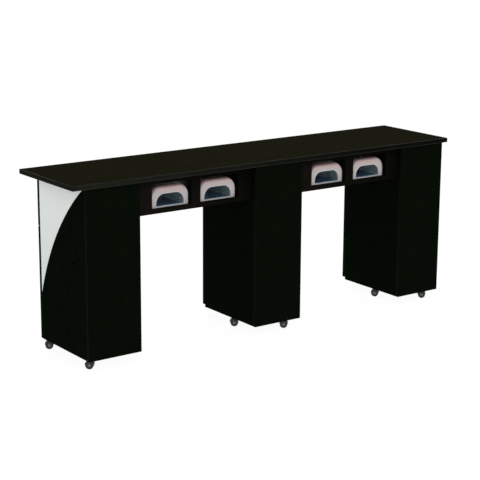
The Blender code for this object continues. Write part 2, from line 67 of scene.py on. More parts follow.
CAMERA_PLACE = (-3.686, -5.017, 1.906)
CAMERA_YAW = 36.05
CAMERA_PITCH = -13.80
CAMERA_ROLL = 0.32
CAMERA_LENS = 107.4
CAMERA_SENSOR = 36.0
CAMERA_REACH = 100.0
FLOOR_SIZE = 60.0
FLOOR_SHADE = (0.06, 0.06, 0.06, 1)
FLOOR_ROUGHNESS = 0.9
FLOOR_GLOW = 0.95
WHITE = (1, 1, 1, 1)

# Each softbox: its place, the point it faces, its width and height, its power and its colour
SOFTBOXES = {
    "key": ((0.2, -3.4, 3.4), (0, 0, 0.6), (2.4, 1.6), 60, (1.0, 0.98, 0.95)),
    "overhead": ((0.4, 0.6, 3.4), (0, 0, 0.7), (3.0, 1.2), 45, (1.0, 1.0, 1.0)),
}


def camera():
    """A long lens from the client's side, in front of the left end and above the worktop."""
    data = bpy.data.cameras.new("camera")
    data.lens = CAMERA_LENS
    data.sensor_width = CAMERA_SENSOR
    data.clip_end = CAMERA_REACH
    eye = bpy.data.objects.new("camera", data)
    bpy.context.scene.collection.objects.link(eye)
    turn = Matrix.Rotation(math.radians(-CAMERA_YAW), 4, "Z")
    tilt = Matrix.Rotation(math.radians(90 + CAMERA_PITCH), 4, "X")
    roll = Matrix.Rotation(math.radians(CAMERA_ROLL), 4, "Z")
    eye.matrix_world = Matrix.Translation(CAMERA_PLACE) @ turn @ tilt @ roll
    bpy.context.scene.camera = eye


def softbox(name, place, target, size, power, colour):
    """A rectangular area light that faces its target."""
    data = bpy.data.lights.new(name, "AREA")
    data.shape = "RECTANGLE"
    data.size, data.size_y = size
    data.energy = power
    data.color = colour
    light = bpy.data.objects.new(name, data)
    bpy.context.scene.collection.objects.link(light)
    light.location = place
    light.rotation_euler = (Vector(target) - Vector(place)).to_track_quat("-Z", "Y").to_euler()


def studio():
    """A white surround, a pale floor that takes only a faint shadow, and two softboxes."""
    scene = bpy.context.scene
    scene.view_settings.view_transform = "Standard"
    world = bpy.data.worlds.new("surround")
    world.use_nodes = True
    surround = world.node_tree.nodes["Background"]
    surround.inputs["Color"].default_value = WHITE
    surround.inputs["Strength"].default_value = 1.0
    scene.world = world

    mesh = bpy.data.meshes.new("floor")
    half = FLOOR_SIZE / 2
    corners = [(-half, -half, 0), (half, -half, 0), (half, half, 0), (-half, half, 0)]
    mesh.from_pydata(corners, [], [(0, 1, 2, 3)])
    floor = bpy.data.objects.new("floor", mesh)
    scene.collection.objects.link(floor)
    material = bpy.data.materials.new("pale_floor")
    material.use_nodes = True
    shader = material.node_tree.nodes["Principled BSDF"]
    shader.inputs["Base Color"].default_value = FLOOR_SHADE
    shader.inputs["Roughness"].default_value = FLOOR_ROUGHNESS
    shader.inputs["Specular IOR Level"].default_value = 0.0
    shader.inputs["Emission Color"].default_value = WHITE
    shader.inputs["Emission Strength"].default_value = FLOOR_GLOW
    mesh.materials.append(material)

    for name, settings in SOFTBOXES.items():
        softbox(name, *settings)


# ---------------------------------------------------------------- materials

SUBSURFACE_SCALE = 0.004

# The smudges in a surface's roughness are this much finer than the clouds in its colour
SMUDGE_FINENESS = 1.7


def noise(tree, vector, scale, detail=3.0, roughness=0.55):
    """A noise texture on a vector, and its value."""
    node = tree.nodes.new("ShaderNodeTexNoise")
    node.inputs["Scale"].default_value = scale
    node.inputs["Detail"].default_value = detail
    node.inputs["Roughness"].default_value = roughness
    tree.links.new(vector, node.inputs["Vector"])
    return node.outputs["Fac"]


def mapped(tree, value, low, high, from_low=0.3, from_high=0.7):
    """A value stretched to a new range."""
    node = tree.nodes.new("ShaderNodeMapRange")
    node.inputs["From Min"].default_value = from_low
    node.inputs["From Max"].default_value = from_high
    node.inputs["To Min"].default_value = low
    node.inputs["To Max"].default_value = high
    tree.links.new(value, node.inputs["Value"])
    return node.outputs["Result"]


def vector_math(tree, operation, first, second):
    """A vector operation on sockets or constant vectors."""
    node = tree.nodes.new("ShaderNodeVectorMath")
    node.operation = operation
    for socket, value in zip(node.inputs, (first, second)):
        if isinstance(value, bpy.types.NodeSocket):
            tree.links.new(value, socket)
        else:
            socket.default_value = value
    return node


def faded(tree, place, colour, axis, start, length, repeat, first, last):
    """A colour times a factor that slides from first to last along an axis, once or repeated."""
    split = tree.nodes.new("ShaderNodeSeparateXYZ")
    tree.links.new(place, split.inputs["Vector"])
    shift = tree.nodes.new("ShaderNodeMath")
    shift.operation = "SUBTRACT"
    shift.inputs[1].default_value = start
    tree.links.new(split.outputs[axis], shift.inputs[0])
    distance = shift.outputs["Value"]
    if repeat:
        wrap = tree.nodes.new("ShaderNodeMath")
        wrap.operation = "WRAP"
        wrap.inputs[1].default_value = repeat
        wrap.inputs[2].default_value = 0.0
        tree.links.new(distance, wrap.inputs[0])
        distance = wrap.outputs["Value"]
    share = mapped(tree, distance, 0.0, 1.0, 0.0, length)
    step = vector_math(tree, "SCALE", Vector(last) - Vector(first), (0, 0, 0))
    tree.links.new(share, step.inputs["Scale"])
    factor = vector_math(tree, "ADD", step.outputs["Vector"], first)
    product = vector_math(tree, "MULTIPLY", colour, factor.outputs["Vector"])
    return product.outputs["Vector"]


def finish(
    name,
    colour,
    roughness,
    mottle,
    mottle_scale,
    metallic=0.0,
    specular=0.5,
    coat=0.0,
    coat_roughness=0.25,
    stretch=(1, 1, 1),
    grain=0.0,
    grain_scale=300.0,
    relief=0.0,
    relief_scale=1500.0,
    roughness_spread=0.06,
    subsurface=0.0,
    fade=None,
):
    """A Principled material: a cloudy colour and, where asked, a drawn grain, a relief and a fade.

    A fade is (axis, start, length, repeat, factor at the start, factor at the end); most fades here
    paint light and shade into the colour.
    """
    material = bpy.data.materials.new(name)
    material.use_nodes = True
    tree = material.node_tree
    shader = tree.nodes["Principled BSDF"]
    shader.inputs["Metallic"].default_value = metallic
    shader.inputs["Specular IOR Level"].default_value = specular
    shader.inputs["Coat Weight"].default_value = coat
    shader.inputs["Coat Roughness"].default_value = coat_roughness
    if subsurface:
        shader.inputs["Subsurface Weight"].default_value = subsurface
        shader.inputs["Subsurface Scale"].default_value = SUBSURFACE_SCALE
    place = tree.nodes.new("ShaderNodeTexCoord").outputs["Object"]
    mapping = tree.nodes.new("ShaderNodeMapping")
    mapping.inputs["Scale"].default_value = stretch
    tree.links.new(place, mapping.inputs["Vector"])
    drawn = mapping.outputs["Vector"]

    cloud = mapped(tree, noise(tree, place, mottle_scale), 1 - mottle, 1 + mottle)
    if grain:
        streak = mapped(tree, noise(tree, drawn, grain_scale, 4.0, 0.65), 1 - grain, 1 + grain)
        product = tree.nodes.new("ShaderNodeMath")
        product.operation = "MULTIPLY"
        tree.links.new(cloud, product.inputs[0])
        tree.links.new(streak, product.inputs[1])
        cloud = product.outputs["Value"]
    scaled = vector_math(tree, "SCALE", colour, (0, 0, 0))
    tree.links.new(cloud, scaled.inputs["Scale"])
    tint = scaled.outputs["Vector"]
    if fade:
        tint = faded(tree, place, tint, *fade)
    tree.links.new(tint, shader.inputs["Base Color"])

    smudge = noise(tree, place, mottle_scale * SMUDGE_FINENESS, 4.0)
    spread = mapped(tree, smudge, roughness - roughness_spread, roughness + roughness_spread)
    tree.links.new(spread, shader.inputs["Roughness"])
    if relief:
        bump = tree.nodes.new("ShaderNodeBump")
        bump.inputs["Strength"].default_value = 1.0
        bump.inputs["Distance"].default_value = relief
        height = noise(tree, drawn if grain else place, relief_scale, 2.0)
        tree.links.new(height, bump.inputs["Height"])
        tree.links.new(bump.outputs["Normal"], shader.inputs["Normal"])
    return material


# How a grain is drawn out: up a board, along the worktop, and from front to back
UPRIGHT = (1, 1, 0.03)
ALONG = (0.03, 1, 1)
DEEP = (1, 0.03, 1)

# Where the slow changes of colour lie: along the worktop's edge and up it, across each bay between its
# cabinets and up the inlay, all painted light and shade, and over the rounded top of the nail dryers
TOP_LOW, TOP_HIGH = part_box("worktop")
FASCIA_LOW, FASCIA_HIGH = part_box("left_bay_fascia")
INLAY_LOW, INLAY_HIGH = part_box("end_inlay")
BAY_START = FASCIA_LOW.x - GAP
BAY_WIDTH = FASCIA_HIGH.x - FASCIA_LOW.x + 2 * GAP
BAY_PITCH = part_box("right_bay_fascia")[0].x - FASCIA_LOW.x
LAMP_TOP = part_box("lamp_housing_1")[1].z

# How far the dryers' change reaches down from the crown, and the edge's painted sheen from the left
# end
LAMP_ROOF = 0.0323
EDGE_SHEEN_FADE = 1.5

MATERIALS = {
    "top": finish("top_laminate", (0.0054, 0.0053, 0.0022), 0.5, specular=0.0, coat=0.007,
                  mottle=0.16, mottle_scale=26, grain=0.12, grain_scale=420, stretch=ALONG,
                  relief=0.00006, relief_scale=1400),
    "laminate": finish("black_laminate", (0.0018, 0.0033, 0.0015), 0.55, specular=0.0, coat=0.006,
                       mottle=0.14, mottle_scale=18, grain=0.16, grain_scale=420,
                       stretch=UPRIGHT, relief=0.00006, relief_scale=1400),
    # The fascia's fade is painted light: brighter and browner at each bay's left end as a painted
    # reflection, darker towards its right end as painted shade.
    "fascia": finish("fascia_laminate", (0.0060, 0.0048, 0.0038), 0.55, specular=0.0, coat=0.006,
                     mottle=0.14, mottle_scale=18, grain=0.16, grain_scale=420,
                     stretch=ALONG, relief=0.00006, relief_scale=1400,
                     fade=("X", BAY_START, BAY_WIDTH, BAY_PITCH,
                           (1.05, 1.05, 1.0), (0.36, 0.5, 0.45))),
    # The worktop edge's fade is a painted sheen: brightest at the left end, fading to a darker edge
    # along the worktop.
    "edge": finish("worktop_edge", (0.0044, 0.0048, 0.0034), 0.45, specular=0.0, coat=0.008,
                   mottle=0.2, mottle_scale=22, grain=0.12, grain_scale=420, stretch=ALONG,
                   fade=("X", TOP_LOW.x, EDGE_SHEEN_FADE, None, (2.2, 2.2, 2.2), (0.75, 0.75, 0.75))),
    # The boards' edge bands are lighter than the laminate: a painted highlight for the light line
    # along the corners of the panels and fronts.
    "band": finish("edge_band", (0.0038, 0.0055, 0.0033), 0.45, specular=0.0, coat=0.01,
                   mottle=0.1, mottle_scale=60),
    # The seams are pale lines on the slab's arrises: a lighter seam colour that also stands in for
    # painted highlights, and the fade up the slab paints the lower one bright and dims the upper one.
    "seam": finish("band_seam_highlight", (0.017, 0.017, 0.0145), 0.5, specular=0.1, mottle=0.3,
                   mottle_scale=26,
                   fade=("Z", TOP_LOW.z, TOP_HIGH.z - TOP_LOW.z, None,
                         (1.6, 1.6, 1.6), (0.22, 0.22, 0.22))),
    # The inlay's fade is painted light and shade: darker towards its foot as painted shade, lighter
    # towards its top under the worktop.
    "inlay": finish("pale_inlay", (0.62, 0.655, 0.645), 0.42, specular=0.30, mottle=0.012,
                    mottle_scale=9, relief=0.00003, relief_scale=1200,
                    fade=("Z", INLAY_LOW.z, INLAY_HIGH.z - INLAY_LOW.z, None,
                          (0.94, 0.95, 0.92), (1.14, 1.12, 1.13))),
    "lining": finish("drawer_lining", (0.42, 0.41, 0.38), 0.6, specular=0.3, mottle=0.05,
                     mottle_scale=25, grain=0.05, grain_scale=300, stretch=DEEP, relief=0.00005),
    "lamp": finish("lamp_plastic", (0.37, 0.35, 0.35), 0.34, specular=0.5, mottle=0.02,
                   mottle_scale=40, relief=0.00002, relief_scale=2200, subsurface=0.08,
                   fade=("Z", LAMP_TOP - LAMP_ROOF, LAMP_ROOF, None,
                         (1.0, 0.98, 0.98), (1.18, 0.885, 0.83))),
    "rim": finish("lamp_rim", (0.43, 0.43, 0.45), 0.3, specular=0.5, mottle=0.02,
                  mottle_scale=60, relief=0.00002, relief_scale=2200),
    "button": finish("lamp_button", (0.42, 0.36, 0.35), 0.3, mottle=0.02, mottle_scale=80),
    # The reflector's colour carries streaks drawn from front to back: painted reflections.
    "liner": finish("reflector", (0.50, 0.61, 0.66), 0.28, metallic=0.25, mottle=0.10,
                    mottle_scale=20, grain=0.25, grain_scale=70, stretch=DEEP,
                    roughness_spread=0.08),
    "tray": finish("lamp_tray", (0.017, 0.037, 0.084), 0.22, specular=0.5, coat=0.4,
                   coat_roughness=0.12, mottle=0.15, mottle_scale=30),
    "tube": finish("lamp_tube", (0.30, 0.33, 0.40), 0.12, coat=0.6, coat_roughness=0.05,
                   mottle=0.05, mottle_scale=60),
    "socket": finish("tube_socket", (0.5, 0.5, 0.5), 0.5, mottle=0.05, mottle_scale=90),
    "black": finish("black_plastic", (0.012, 0.013, 0.012), 0.45, specular=0.25, mottle=0.15,
                    mottle_scale=80, relief=0.00008, relief_scale=1800),
    "grommet": finish("grommet_plastic", (0.0021, 0.0032, 0.0019), 0.5, specular=0.0, coat=0.008,
                      mottle=0.1, mottle_scale=90, relief=0.00006, relief_scale=1800),
    "chrome": finish("satin_chrome", (0.68, 0.68, 0.69), 0.22, metallic=1.0, mottle=0.04,
                     mottle_scale=120),
    "steel": finish("zinc_steel", (0.52, 0.52, 0.50), 0.38, metallic=1.0, mottle=0.12,
                    mottle_scale=140, relief=0.00002, relief_scale=2600),
    "castor": finish("castor_plastic", (0.020, 0.021, 0.021), 0.4, specular=0.3, mottle=0.15,
                     mottle_scale=140, relief=0.00005, relief_scale=2600),
    "tread": finish("castor_tread", (0.024, 0.026, 0.025), 0.55, specular=0.2, mottle=0.2,
                    mottle_scale=160, relief=0.0001, relief_scale=1800),
    "disc": finish("castor_disc", (0.032, 0.036, 0.034), 0.4, specular=0.25, mottle=0.15,
                   mottle_scale=140, relief=0.00005, relief_scale=2600),
    "hub": finish("castor_hub", (0.115, 0.118, 0.116), 0.32, metallic=0.8, mottle=0.06,
                  mottle_scale=160),
}

NODE_MATERIALS = {
    "worktop": "top",
    "end_inlay": "inlay",
    "cable_grommet": "grommet",
    "bay_fascia": "fascia",
    "bay_shelf": "laminate",
    "drawer_box": "lining",
    "castor_body": "castor",
    "castor_wheels": "tread",
    "lamp_housing": "lamp",
    "lamp_button": "button",
    "pull": "chrome",
    "door_hinge": "steel",
}


def paint_nodes():
    """Gives every CAD node its finished material."""
    for name, node in frame["nodes"].items():
        found = [key for part, key in NODE_MATERIALS.items() if part in name]
        material = MATERIALS[found[0] if found else "laminate"]
        node.data.materials.clear()
        node.data.materials.append(material)


# ---------------------------------------------------------------- shapes

IDENTITY = Matrix.Identity(4)
UP = Vector((0, 0, 1))
SCREW_FACETS = 14


def loft(work, rings, matrix=IDENTITY, index=0, closed=False):
    """A skin through rings of the same length, capped at its ends, or joined end to start."""
    loops = [[work.verts.new(matrix @ Vector(point)) for point in ring] for ring in rings]
    pairs = list(zip(loops, loops[1:]))
    faces = []
    if closed:
        pairs.append((loops[-1], loops[0]))
    else:
        faces += [work.faces.new(loops[0]), work.faces.new(loops[-1])]
    for lower, upper in pairs:
        for i in range(len(lower)):
            j = (i + 1) % len(lower)
            faces.append(work.faces.new((lower[i], lower[j], upper[j], upper[i])))
    for face in faces:
        face.material_index = index
    return faces


def lathe(work, profile, facets, matrix, index=0, closed=False):
    """A body turned about Z from (radius, height) points."""
    turns = [2 * math.pi * i / facets for i in range(facets)]
    rings = [
        [(radius * math.cos(a), radius * math.sin(a), height) for a in turns]
        for radius, height in profile
    ]
    loft(work, rings, matrix, index, closed)


def block(work, low, high, round_off=0.0004, matrix=IDENTITY):
    """A box between two corners, its edges rounded off."""
    size = Vector(high) - Vector(low)
    middle = (Vector(high) + Vector(low)) / 2
    placed = matrix @ Matrix.Translation(middle) @ Matrix.Diagonal((*size, 1))
    made = bmesh.ops.create_cube(work, size=1.0, matrix=placed)
    edges = list({edge for vertex in made["verts"] for edge in vertex.link_edges})
    bmesh.ops.bevel(work, geom=edges, offset=round_off, segments=2, affect="EDGES", profile=0.5)


def along(path, index):
    """The direction of a path at one of its points."""
    before = Vector(path[max(index - 1, 0)])
    after = Vector(path[min(index + 1, len(path) - 1)])
    return (after - before).normalized()


def tube(work, path, radius, facets, matrix):
    """A round rod along a path that lies in its local XY plane."""
    rings = []
    for i, point in enumerate(path):
        side = along(path, i).cross(UP).normalized()
        ring = []
        for k in range(facets):
            turn = 2 * math.pi * k / facets
            offset = side * math.cos(turn) + UP * math.sin(turn)
            ring.append(Vector(point) + offset * radius)
        rings.append(ring)
    loft(work, rings, matrix)


def arc(centre, radius, start, end, steps):
    """Points on an arc, its angles in radians."""
    turns = [start + (end - start) * i / steps for i in range(steps + 1)]
    return [(centre[0] + radius * math.cos(a), centre[1] + radius * math.sin(a)) for a in turns]


def turn_to(direction, place):
    """A matrix that points local Z in a direction, at a place."""
    return Matrix.Translation(place) @ Vector(direction).to_track_quat("Z", "Y").to_matrix().to_4x4()


def piece(name, work, materials, body, smooth=35):
    """Turns a bmesh into a visible piece that rides on a body."""
    bmesh.ops.recalc_face_normals(work, faces=work.faces)
    mesh = bpy.data.meshes.new(name)
    work.to_mesh(mesh)
    work.free()
    mesh.shade_smooth()
    mesh.set_sharp_from_angle(angle=math.radians(smooth))
    for key in [materials] if isinstance(materials, str) else materials:
        mesh.materials.append(MATERIALS[key])
    made = bpy.data.objects.new(name, mesh)
    bpy.context.scene.collection.objects.link(made)
    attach(made, body)
    return made


def screw(work, place, direction, radius=0.0034):
    """A pan-head screw, its head dimpled in the middle and standing off the surface."""
    head = [
        (radius, -0.0004),
        (radius, 0.0005),
        (radius * 0.82, 0.0012),
        (radius * 0.5, 0.0016),
        (radius * 0.30, 0.0017),
        (radius * 0.22, 0.0010),
    ]
    lathe(work, head, SCREW_FACETS, turn_to(direction, place))


# ---------------------------------------------------------------- worktop and boards

# The slab's band: how far it stands off the edge, laps over the faces and tucks in there, the height
# of its rounded corner, its depth, and the width of the seams, pale lines that carry painted
# highlights
BAND_PROUD = 0.0003
BAND_LAP = 0.0001
BAND_TUCK = 0.0008
BAND_CORNER = 0.0005
BAND_DEPTH = 0.0016
SEAM_HIGHLIGHT_WIDTH = 0.0013

# The thinner bands on the other boards: how far they stop short of the arrises, and their round
STRIP_INSET = 0.0007
STRIP_ROUND = 0.00025

BRACKET_LEG, BRACKET_WIDTH, BRACKET_SHEET = 0.024, 0.018, 0.0018
BRACKET_SPOTS = (0.2, 0.8)
BRACKET_SCREW_SPOT = 0.6


def frame_band(work, low, high, levels):
    """A band round a board's four edges, from (z, how far it stands off, material) levels."""
    inner = BAND_DEPTH
    outer = []
    for z, off, _ in levels:
        outer.append(
            [
                (low.x - off, low.y - off, z),
                (high.x + off, low.y - off, z),
                (high.x + off, high.y + off, z),
                (low.x - off, high.y + off, z),
            ]
        )
    inside = [
        [(low.x + inner, low.y + inner, z), (high.x - inner, low.y + inner, z),
         (high.x - inner, high.y - inner, z), (low.x + inner, high.y - inner, z)]
        for z in (levels[-1][0], levels[0][0])
    ]
    faces = loft(work, outer + inside, closed=True)
    for band, level in enumerate(levels):
        for face in faces[band * 4:band * 4 + 4]:
            face.material_index = level[2]


def worktop_band():
    """The slab's edge band, with pale seams along both arrises as painted highlights, the lower one
    painted brightest.
    """
    low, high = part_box("worktop")
    work = bmesh.new()
    levels = [
        (low.z - BAND_LAP, -BAND_TUCK, 1),
        (low.z + BAND_CORNER, BAND_PROUD * 0.6, 1),
        (low.z + SEAM_HIGHLIGHT_WIDTH, BAND_PROUD, 0),
        (high.z - SEAM_HIGHLIGHT_WIDTH, BAND_PROUD, 1),
        (high.z - BAND_CORNER, BAND_PROUD * 0.6, 1),
        (high.z + BAND_LAP, -BAND_TUCK, 1),
    ]
    frame_band(work, low, high, levels)
    piece("worktop_edge_band", work, ("edge", "seam"), TABLE, smooth=50)


def strips(work, low, high, levels):
    """Glued strips on a board's two upright edges, and on its top or foot at the given levels."""
    inset = STRIP_INSET
    for x in (low.x, high.x):
        block(
            work,
            (x - BAND_PROUD, low.y + inset, low.z + inset),
            (x + BAND_PROUD, high.y - inset, high.z - inset),
            round_off=STRIP_ROUND,
        )
    for z in levels:
        block(
            work,
            (low.x + inset, low.y + inset, z - BAND_PROUD),
            (high.x - inset, high.y - inset, z + BAND_PROUD),
            round_off=STRIP_ROUND,
        )


def panel_bands(name):
    """The bands on the client panel's two upright edges and its foot."""
    low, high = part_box(f"{name}_cabinet_client_panel")
    work = bmesh.new()
    strips(work, low, high, [low.z])
    piece(f"{name}_panel_edge_bands", work, "band", TABLE)


def front_bands(name, node, body):
    """Edge bands on a door or drawer front, all round."""
    low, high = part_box(node)
    work = bmesh.new()
    strips(work, low, high, [low.z, high.z])
    piece(name, work, "band", body)


def angle_brackets(name):
    """Steel angles that hold the worktop on the side boards, with their screws."""
    sides = [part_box(f"{name}_cabinet_side_{hand}") for hand in ("left", "right")]
    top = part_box("worktop")[0].z
    leg, half, sheet = BRACKET_LEG, BRACKET_WIDTH / 2, BRACKET_SHEET
    screw_spot = leg * BRACKET_SCREW_SPOT
    work = bmesh.new()
    for (low, high), hand in zip(sides, (1, -1)):
        face = high.x if hand > 0 else low.x
        for share in BRACKET_SPOTS:
            y = low.y + (high.y - low.y) * share
            wall = sorted((face, face + hand * sheet))
            flange = sorted((face, face + hand * leg))
            block(work, (wall[0], y - half, top - leg), (wall[1], y + half, top - GAP))
            block(work, (flange[0], y - half, top - sheet - GAP), (flange[1], y + half, top - GAP))
            screw(work, (face + hand * sheet, y, top - screw_spot), (hand, 0, 0))
            screw(work, (face + hand * screw_spot, y, top - sheet - GAP), (0, 0, -1))
    piece(f"{name}_angle_brackets", work, "steel", TABLE)


# ---------------------------------------------------------------- grommet

SLEEVE_WALL = 0.002
SEAT_WIDTH = 0.006
NOTCH_HALF, NOTCH_DEPTH, NOTCH_CORNER = 0.009, 0.014, 0.003
SLEEVE_FACETS, CAP_STEPS = 72, 60


def grommet():
    """The two-part cable grommet: a flanged sleeve, and a cap with a notch for the leads."""
    low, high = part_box("cable_grommet")
    middle = (low + high) / 2
    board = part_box("left_cabinet_side_left")
    flange = (high.z - low.z) / 2
    place = Matrix.Translation((board[0].x, middle.y, middle.z)) @ Matrix.Rotation(
        -math.pi / 2, 4, "Y"
    )
    thick = board[0].x - low.x
    depth = high.x - board[0].x
    work = bmesh.new()
    sleeve = [
        (flange - SEAT_WIDTH, thick * 0.55),
        (flange - 0.0045, thick * 0.95),
        (flange - 0.0020, thick),
        (flange - 0.0006, thick * 0.7),
        (flange, thick * 0.25),
        (flange, GAP),
        (flange - SLEEVE_WALL, GAP),
        (flange - SLEEVE_WALL, -depth),
        (flange - 2 * SLEEVE_WALL, -depth),
        (flange - 2 * SLEEVE_WALL, thick * 0.3),
        (flange - SEAT_WIDTH, thick * 0.3),
    ]
    lathe(work, sleeve, SLEEVE_FACETS, place, closed=True)
    made = piece("grommet_sleeve", work, "grommet", TABLE)
    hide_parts("cable_grommet")

    cap_radius = flange - SEAT_WIDTH - GAP
    half, corner, notch_top = NOTCH_HALF, NOTCH_CORNER, NOTCH_DEPTH - cap_radius
    cut = math.asin(half / cap_radius)
    outline = arc((0, 0), cap_radius, cut - math.pi / 2, 3 * math.pi / 2 - cut, CAP_STEPS)
    outline += [(-half, notch_top - corner), (corner - half, notch_top)]
    outline += [(half - corner, notch_top), (half, notch_top - corner)]
    upright = Matrix.Rotation(-math.pi / 2, 4, "Z")
    levels = ((0.93, thick * 0.75), (0.985, thick * 0.7), (1.0, thick * 0.5), (1.0, -0.001))
    rings = [[(x * grow, y * grow, z) for x, y in outline] for grow, z in levels]
    work = bmesh.new()
    loft(work, rings, place @ upright)
    piece("grommet_cap", work, "grommet", TABLE, smooth=60)


# ---------------------------------------------------------------- doors and drawers

PULL_BEND = 0.010
PULL_FACETS, PULL_FOOT_FACETS, PULL_BEND_STEPS = 20, 24, 8

HINGE_KNUCKLE, HINGE_PLAY, HINGE_SHEET = 0.0125, 0.0003, 0.0009
HINGE_LEAF_BEHIND, LEAF_CLEARANCE, LEAF_ROUND = 0.0012, 0.00005, 0.0002
HINGE_BORE_SHARE, PIN_SHARE, PIN_END = 0.55, 0.92, 0.0008
HINGE_SCREW_PITCH, HINGE_SCREW_INSET, HINGE_SCREW_RADIUS = 0.11, 0.006, 0.0026
KNUCKLE_FACETS, PIN_FACETS, HINGE_SCREW_FACETS = 16, 14, 12

RUNNER_LEVEL, RUNNER_HEIGHT, RUNNER_SHEET, RUNNER_ROLL = 0.045, 0.035, 0.0012, 0.004
RUNNER_BACK, RUNNER_FRONT, RUNNER_OFF_WALL = 0.012, 0.002, 0.0001
CHANNEL_DEPTH, SLIDER_DEPTH, SLIDER_SHARE = 0.0062, 0.0050, 0.66
RUNNER_SCREW_SPOTS, RUNNER_SCREW_RADIUS = (0.12, 0.5, 0.88), 0.0028

DRAWER_WALL = 0.012
FRONT_SCREW_ASIDE, FRONT_SCREW_UP = 0.05, 0.035
MAT_THICKNESS, MAT_MARGIN, MAT_ROUND, MAT_OFF_FLOOR = 0.0015, 0.001, 0.0005, 0.0001


def bow_pull(node, body):
    """A round bow pull with turned feet."""
    low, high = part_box(node)
    size = high - low
    level = size.x > size.z
    radius = (size.z if level else size.x) / 2
    half = (size.x if level else size.z) / 2 - radius
    reach = size.y - radius
    left = arc((PULL_BEND - half, reach - PULL_BEND), PULL_BEND, math.pi, math.pi / 2, PULL_BEND_STEPS)
    right = [(-x, y) for x, y in reversed(left)]
    path = [(x, y, 0) for x, y in [(-half, 0.0), *left, *right, (half, 0.0)]]
    middle = (low + high) / 2
    place = Matrix.Translation((middle.x, low.y, middle.z))
    if not level:
        place = place @ Matrix.Rotation(math.pi / 2, 4, "Y")
    work = bmesh.new()
    tube(work, path, radius, PULL_FACETS, place)
    foot = [(radius * 1.3, 0.0), (radius * 1.3, 0.0012), (radius * 1.02, 0.0026)]
    for x in (-half, half):
        lathe(work, foot, PULL_FOOT_FACETS, place @ turn_to((0, 1, 0), (x, 0, 0)))
    made = piece(f"{node}_rod", work, "chrome", body)
    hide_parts(node)


def door_hinge(name):
    """The piano hinge: knuckles by turns on the two leaves, the pin, and the screws."""
    door = f"{name}_door"
    axis_x, axis_y, _ = joints[f"{name}_door_hinge"]["pos_m"]
    axis = Matrix.Translation((axis_x, axis_y, 0))
    low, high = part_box(f"{name}_door_hinge")
    length = high.z - low.z
    radius = high.y - axis_y
    bore = radius * HINGE_BORE_SHARE
    count = int(length / HINGE_KNUCKLE)
    start = (low.z + high.z) / 2 - count * HINGE_KNUCKLE / 2
    fixed, moving = bmesh.new(), bmesh.new()
    for k in range(count):
        base = start + k * HINGE_KNUCKLE + HINGE_PLAY / 2
        end = base + HINGE_KNUCKLE - HINGE_PLAY
        knuckle = [(radius, base), (radius, end), (bore, end), (bore, base)]
        lathe(fixed if k % 2 else moving, knuckle, KNUCKLE_FACETS, axis, closed=True)
    reach = axis_x - bore
    leaf_y = axis_y - HINGE_LEAF_BEHIND
    leaf_front = leaf_y + HINGE_SHEET
    block(fixed, (low.x, leaf_y, low.z), (reach, leaf_front, high.z), LEAF_ROUND)
    door_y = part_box(door)[0].y - GAP / 2
    leaf_low = (low.x, door_y - HINGE_SHEET, low.z)
    block(moving, leaf_low, (reach, door_y - LEAF_CLEARANCE, high.z), LEAF_ROUND)
    pin_radius = bore * PIN_SHARE
    pin = [(pin_radius, low.z - PIN_END), (pin_radius, high.z + PIN_END)]
    lathe(fixed, pin, PIN_FACETS, axis)
    rows = max(3, int(length / HINGE_SCREW_PITCH))
    for k in range(rows):
        z = low.z + length * (k + 0.5) / rows
        countersunk(fixed, (low.x + HINGE_SCREW_INSET, leaf_front, z), (0, 1, 0))
    leaf = piece(f"{name}_hinge_fixed_leaf", fixed, "steel", TABLE)
    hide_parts(f"{name}_door_hinge")
    piece(f"{name}_hinge_moving_leaf", moving, "steel", door)


def countersunk(work, place, direction):
    """A flush screw head, a hair proud of its sheet."""
    radius = HINGE_SCREW_RADIUS
    head = [(radius, -0.0004), (radius, 0.00004), (radius * 0.9, 0.00012),
            (radius * 0.35, 0.00014), (radius * 0.25, -0.0003)]
    lathe(work, head, HINGE_SCREW_FACETS, turn_to(direction, place))


def drawer_runners(name, body):
    """Side-mounted runners: a channel on each side board, and a slider on the drawer."""
    box_low, box_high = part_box(f"{name}_drawer_box")
    middle_z = box_low.z + RUNNER_LEVEL
    length = (box_low.y + RUNNER_BACK, box_high.y - RUNNER_FRONT)
    fixed, moving = bmesh.new(), bmesh.new()
    for hand, side in ((-1, "left"), (1, "right")):
        board_low, board_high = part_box(f"{name}_cabinet_side_{side}")
        wall = board_high.x if hand < 0 else board_low.x
        drawer = box_low.x if hand < 0 else box_high.x
        inward = -hand
        channel(fixed, wall, inward, middle_z, length, CHANNEL_DEPTH, RUNNER_HEIGHT)
        slider_height = RUNNER_HEIGHT * SLIDER_SHARE
        channel(moving, drawer, -inward, middle_z, length, SLIDER_DEPTH, slider_height)
        for share in RUNNER_SCREW_SPOTS:
            y = length[0] + (length[1] - length[0]) * share
            seat = wall + inward * (RUNNER_SHEET + RUNNER_OFF_WALL)
            screw(fixed, (seat, y, middle_z), (inward, 0, 0), RUNNER_SCREW_RADIUS)
    piece(f"{name}_runner_channels", fixed, "steel", TABLE)
    piece(f"{name}_runner_sliders", moving, "steel", body)


def channel(work, wall, inward, z, length, depth, height):
    """A rolled steel channel that opens away from the wall it's fixed to."""
    sheet, half = RUNNER_SHEET, height / 2
    lip = half - RUNNER_ROLL
    upper = [
        (sheet, half - sheet), (depth - sheet, half - sheet), (depth - sheet, lip),
        (depth, lip), (depth, half), (0, half),
    ]
    lower = [(x, -level) for x, level in reversed(upper)]
    rings = [
        [(wall + inward * (x + RUNNER_OFF_WALL), y, z + level) for x, level in lower + upper]
        for y in length
    ]
    loft(work, rings)


